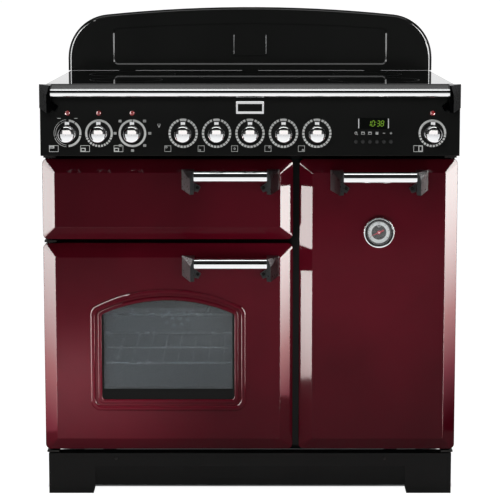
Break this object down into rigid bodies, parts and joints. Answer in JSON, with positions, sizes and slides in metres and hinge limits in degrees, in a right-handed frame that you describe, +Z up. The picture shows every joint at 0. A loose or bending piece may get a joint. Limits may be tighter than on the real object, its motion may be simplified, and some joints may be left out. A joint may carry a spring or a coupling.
{
  "type": "induction range cooker",
  "caption": "Free-standing induction range cooker with bevelled side-hung oven and grill doors, rotary knobs, chrome handrail, arched oven window and shaped backguard",
  "frame": {"origin": "On the floor, under the middle of the overall box", "axes": "+X to the right as seen from the front, +Y to the back, +Z up"},
  "size_m": [0.9, 0.655, 1.0579],
  "materials": {
    "burgundy_enamel": "gloss enamel",
    "black_enamel": "gloss black enamel",
    "grey_coated_steel": "satin coated sheet",
    "oven_enamel": "speckled dark enamel",
    "black_hob_glass": "polished",
    "window_glass": "polished, lightly tinted",
    "chrome_plate": "mirror chrome",
    "satin_nickel": "satin dark nickel on die casting",
    "bright_steel": "bright rolled steel",
    "zinc_plate": "zinc plated",
    "red_lens": "clear red",
    "dark_lens": "dark gloss",
    "black_plastic": "matt moulded",
    "grey_plastic": "matt moulded",
    "coil_winding": "lacquered winding on ferrite",
    "cast_aluminium": "plain",
    "seal_rubber": "woven and rubber",
    "foot_plastic": "matt moulded",
    "needle_red": "matt paint"
  },
  "bodies": {
    "cabinet": {"base_frame": "grey_coated_steel", "front_feet": "zinc_plate", "side_panels": "black_enamel", "back_panel": "grey_coated_steel", "front_frame": "black_enamel", "plinth": "black_enamel", "control_panel": "black_enamel", "clock_window": "dark_lens", "control_gear": "grey_plastic", "indicator_lamps": "red_lens", "hob_frame": "black_enamel", "hob_glass": "black_hob_glass", "induction_coils": "coil_winding", "power_module": "cast_aluminium", "backguard": "black_enamel", "handrail": "chrome_plate", "handrail_brackets": "satin_nickel", "grill_cavity": "oven_enamel", "left_oven_cavity": "oven_enamel", "right_oven_cavity": "oven_enamel", "oven_racks": "bright_steel", "grill_pan": "oven_enamel", "heating_elements": "zinc_plate", "fan_motors": "zinc_plate", "door_seals": "seal_rubber", "hinge_plates": "zinc_plate", "mains_terminal": "black_plastic"},
    "grill_door": {"grill_door_skin": "burgundy_enamel", "grill_door_liner": "oven_enamel", "grill_door_bar": "chrome_plate", "grill_door_brackets": "satin_nickel"},
    "left_door": {"left_door_skin": "burgundy_enamel", "left_door_liner": "oven_enamel", "left_door_bar": "chrome_plate", "left_door_brackets": "satin_nickel", "left_door_glass": "window_glass"},
    "right_door": {"right_door_skin": "burgundy_enamel", "right_door_liner": "oven_enamel", "right_door_bar": "chrome_plate", "right_door_brackets": "satin_nickel", "thermometer_case": "chrome_plate"},
    "gauge_needle": {"thermometer_needle": "needle_red"},
    "grill_knob": {"grill_knob": "chrome_plate"},
    "left_oven_heat_knob": {"left_oven_heat_knob": "chrome_plate"},
    "left_oven_function_knob": {"left_oven_function_knob": "chrome_plate"},
    "hob_knob_1": {"hob_knob_1": "chrome_plate"},
    "hob_knob_2": {"hob_knob_2": "chrome_plate"},
    "hob_knob_3": {"hob_knob_3": "chrome_plate"},
    "hob_knob_4": {"hob_knob_4": "chrome_plate"},
    "hob_knob_5": {"hob_knob_5": "chrome_plate"},
    "right_oven_knob": {"right_oven_knob": "chrome_plate"},
    "clock_button_1": {"clock_button_1": "black_plastic"},
    "clock_button_2": {"clock_button_2": "black_plastic"},
    "clock_button_3": {"clock_button_3": "black_plastic"},
    "clock_button_4": {"clock_button_4": "black_plastic"},
    "clock_button_5": {"clock_button_5": "black_plastic"},
    "clock_button_6": {"clock_button_6": "black_plastic"},
    "left_oven_fan": {"left_oven_fan": "zinc_plate"},
    "right_oven_fan": {"right_oven_fan": "zinc_plate"},
    "rear_rollers": {"rear_rollers": "foot_plastic"}
  },
  "joints": [
    {"name": "grill_door_hinge", "type": "hinge", "parent": "cabinet", "child": "grill_door", "pos_m": [-0.433, -0.2435, 0.65], "axis": [0, 0, -1], "range_deg": [0, 110]},
    {"name": "left_door_hinge", "type": "hinge", "parent": "cabinet", "child": "left_door", "pos_m": [-0.433, -0.2435, 0.42], "axis": [0, 0, -1], "range_deg": [0, 110]},
    {"name": "right_door_hinge", "type": "hinge", "parent": "cabinet", "child": "right_door", "pos_m": [0.433, -0.2435, 0.42], "axis": [0, 0, 1], "range_deg": [0, 110]},
    {"name": "gauge_needle_turn", "type": "hinge", "parent": "right_door", "child": "gauge_needle", "pos_m": [0.278, -0.2865, 0.585], "axis": [0, 1, 0], "range_deg": [0, 240]},
    {"name": "grill_knob_turn", "type": "hinge", "parent": "cabinet", "child": "grill_knob", "pos_m": [-0.39, -0.2845, 0.8], "axis": [0, 1, 0], "range_deg": [-150, 150]},
    {"name": "left_oven_heat_knob_turn", "type": "hinge", "parent": "cabinet", "child": "left_oven_heat_knob", "pos_m": [-0.323, -0.2845, 0.8], "axis": [0, 1, 0], "range_deg": [0, 270]},
    {"name": "left_oven_function_knob_turn", "type": "hinge", "parent": "cabinet", "child": "left_oven_function_knob", "pos_m": [-0.2515, -0.2845, 0.8], "axis": [0, 1, 0], "range_deg": [0, 315]},
    {"name": "hob_knob_1_turn", "type": "hinge", "parent": "cabinet", "child": "hob_knob_1", "pos_m": [-0.143, -0.2845, 0.8], "axis": [0, 1, 0], "range_deg": [0, 290]},
    {"name": "hob_knob_2_turn", "type": "hinge", "parent": "cabinet", "child": "hob_knob_2", "pos_m": [-0.0715, -0.2845, 0.8], "axis": [0, 1, 0], "range_deg": [0, 290]},
    {"name": "hob_knob_3_turn", "type": "hinge", "parent": "cabinet", "child": "hob_knob_3", "pos_m": [0, -0.2845, 0.8], "axis": [0, 1, 0], "range_deg": [0, 290]},
    {"name": "hob_knob_4_turn", "type": "hinge", "parent": "cabinet", "child": "hob_knob_4", "pos_m": [0.0715, -0.2845, 0.8], "axis": [0, 1, 0], "range_deg": [0, 290]},
    {"name": "hob_knob_5_turn", "type": "hinge", "parent": "cabinet", "child": "hob_knob_5", "pos_m": [0.143, -0.2845, 0.8], "axis": [0, 1, 0], "range_deg": [0, 290]},
    {"name": "right_oven_knob_turn", "type": "hinge", "parent": "cabinet", "child": "right_oven_knob", "pos_m": [0.39, -0.2845, 0.8], "axis": [0, 1, 0], "range_deg": [0, 270]},
    {"name": "clock_button_1_press", "type": "slide", "parent": "cabinet", "child": "clock_button_1", "axis": [0, 1, 0], "range_m": [0, 0.0012], "stiffness_N_per_m": 400},
    {"name": "clock_button_2_press", "type": "slide", "parent": "cabinet", "child": "clock_button_2", "axis": [0, 1, 0], "range_m": [0, 0.0012], "stiffness_N_per_m": 400},
    {"name": "clock_button_3_press", "type": "slide", "parent": "cabinet", "child": "clock_button_3", "axis": [0, 1, 0], "range_m": [0, 0.0012], "stiffness_N_per_m": 400},
    {"name": "clock_button_4_press", "type": "slide", "parent": "cabinet", "child": "clock_button_4", "axis": [0, 1, 0], "range_m": [0, 0.0012], "stiffness_N_per_m": 400},
    {"name": "clock_button_5_press", "type": "slide", "parent": "cabinet", "child": "clock_button_5", "axis": [0, 1, 0], "range_m": [0, 0.0012], "stiffness_N_per_m": 400},
    {"name": "clock_button_6_press", "type": "slide", "parent": "cabinet", "child": "clock_button_6", "axis": [0, 1, 0], "range_m": [0, 0.0012], "stiffness_N_per_m": 400},
    {"name": "left_oven_fan_spin", "type": "hinge", "parent": "cabinet", "child": "left_oven_fan", "pos_m": [-0.178, 0.2135, 0.3315], "axis": [0, 1, 0], "continuous": true},
    {"name": "right_oven_fan_spin", "type": "hinge", "parent": "cabinet", "child": "right_oven_fan", "pos_m": [0.278, 0.2135, 0.4235], "axis": [0, 1, 0], "continuous": true},
    {"name": "rear_rollers_roll", "type": "hinge", "parent": "cabinet", "child": "rear_rollers", "pos_m": [0, 0.2525, 0.022], "axis": [1, 0, 0], "continuous": true}
  ]
}
